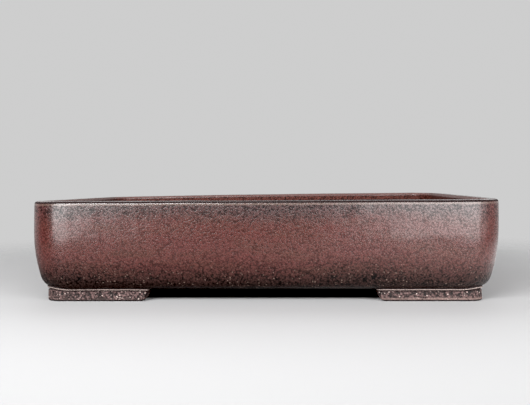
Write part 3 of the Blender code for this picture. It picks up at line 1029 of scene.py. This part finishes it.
CAMERA_PLACE = (0.0257, -0.850, 0.1128)
CAMERA_YAW, CAMERA_PITCH, CAMERA_ROLL = math.radians(1.97), math.radians(1.61), math.radians(-0.324)
LENS_LENGTH = 50.0
SENSOR_WIDTH = 36.0
BLACK_LEVEL = 0.012


def show(name, data):
    """Puts a new object into the scene."""
    shown = bpy.data.objects.new(name, data)
    bpy.context.scene.collection.objects.link(shown)
    return shown


def pale_floor():
    """A pale table top that fades into the backdrop."""
    material, recipe, place = start_material("pale_table")
    x, y, _ = recipe.parts(place)
    fade = recipe.smooth(recipe.math("SQRT", x * x + y * y), *TABLE_FADE)
    seen = recipe.node("ShaderNodeLightPath", None, None, "Is Camera Ray")
    rightward = recipe.smooth(x, *TABLE_LEFT_TO_RIGHT)
    for_clay = recipe.mix(rightward, TABLE_FOR_CLAY_LEFT, TABLE_FOR_CLAY_RIGHT)
    colour = recipe.mix(seen, for_clay, TABLE_SEEN)
    shader = recipe.node("ShaderNodeBsdfPrincipled", None, {"Base Color": colour, "Roughness": 0.7})
    clear = recipe.node("ShaderNodeBsdfTransparent")
    surface = recipe.node("ShaderNodeMixShader", None, {0: fade, 1: shader, 2: clear})
    recipe.node("ShaderNodeOutputMaterial", None, {"Surface": surface})
    mesh = bpy.data.meshes.new("table")
    angles = [2 * math.pi * i / TABLE_SIDES for i in range(TABLE_SIDES)]
    rim = [(TABLE_RADIUS * math.cos(angle), TABLE_RADIUS * math.sin(angle), 0.0) for angle in angles]
    mesh.from_pydata(rim, [], [tuple(range(TABLE_SIDES))])
    mesh.materials.append(material)
    table = show("table", mesh)


def painted_shadow_card():
    """A painted shadow: a matt dark card that lies hidden under the pot, so that the gap below it stays
    dark.
    """
    card_material = bpy.data.materials.new("painted_shadow_card")
    card_material.use_nodes = True
    shader = card_material.node_tree.nodes["Principled BSDF"]
    shader.inputs["Base Color"].default_value = PAINTED_SHADOW_COLOUR
    shader.inputs["Roughness"].default_value = 0.9
    corners = rectangle(POT_LENGTH / 2 - CARD_INSET, POT_BREADTH / 2 - CARD_INSET)
    mesh = bpy.data.meshes.new("painted_shadow_card")
    mesh.from_pydata([(x, y, CARD_HEIGHT) for x, y in corners], [], [(0, 1, 2, 3)])
    mesh.materials.append(card_material)
    card = show("painted_shadow_card", mesh)


def studio_air():
    """A pale backdrop for the camera; for the clay, a room that is bright at the back and dark above."""
    world = bpy.data.worlds.new("studio")
    bpy.context.scene.world = world
    world.use_nodes = True
    world.node_tree.nodes.clear()
    recipe = Recipe(world.node_tree)
    _, y, z = recipe.parts(recipe.node("ShaderNodeTexCoord", None, None, "Generated"))
    low = recipe.smooth(z, 0.55, 0.05)
    back = recipe.smooth(y, 0.05, 0.55)
    glow = CEILING_GLOW + low * (ROOM_GLOW - CEILING_GLOW) + low * back * (BACK_GLOW - ROOM_GLOW)
    seen = recipe.node("ShaderNodeLightPath", None, None, "Is Camera Ray")
    colour = recipe.mix(seen, recipe.vector(glow, glow, glow), BACKDROP)
    background = recipe.node("ShaderNodeBackground", None, {"Color": colour, "Strength": 1.0})
    recipe.node("ShaderNodeOutputWorld", None, {"Surface": background})


def soft_light(name, azimuth, elevation, distance, width, height, power):
    """A soft light panel that faces the middle of the pot."""
    turn, lift = math.radians(azimuth), math.radians(elevation)
    level = math.cos(lift)
    toward = Vector((math.sin(turn) * level, -math.cos(turn) * level, math.sin(lift)))
    light = bpy.data.lights.new(name, "AREA")
    light.shape = "RECTANGLE"
    light.size, light.size_y, light.energy = width, height, power
    panel = show(name, light)
    panel.location = Vector((0.0, 0.0, POT_HEIGHT / 2)) + toward * distance
    panel.rotation_euler = (-toward).to_track_quat("-Z", "Y").to_euler()
    panel.visible_camera = False


def turned_towards(first, second, angle):
    """Two directions at right angles, turned together: the first towards the second."""
    cosine, sine = math.cos(angle), math.sin(angle)
    return first * cosine + second * sine, second * cosine - first * sine


def product_camera():
    """A 50 mm lens a little above the rim, long side on."""
    ahead = Vector((-math.sin(CAMERA_YAW), math.cos(CAMERA_YAW), 0.0))
    right = Vector((math.cos(CAMERA_YAW), math.sin(CAMERA_YAW), 0.0))
    up, ahead = turned_towards(Vector((0.0, 0.0, 1.0)), ahead, CAMERA_PITCH)
    right, up = turned_towards(right, up, CAMERA_ROLL)
    camera_data = bpy.data.cameras.new("camera")
    camera_data.lens, camera_data.sensor_width = LENS_LENGTH, SENSOR_WIDTH
    camera = show("camera", camera_data)
    turned = Matrix((right, up, -ahead)).transposed().to_4x4()
    camera.matrix_world = Matrix.Translation(CAMERA_PLACE) @ turned
    bpy.context.scene.camera = camera


pale_floor()
painted_shadow_card()
studio_air()
for light_name, light_values in SOFT_LIGHTS.items():
    soft_light(light_name, *light_values)
product_camera()
view_settings = bpy.context.scene.view_settings
view_settings.view_transform = "Standard"
view_settings.use_curve_mapping = True
view_settings.curve_mapping.black_level = (BLACK_LEVEL, BLACK_LEVEL, BLACK_LEVEL)
view_settings.curve_mapping.update()
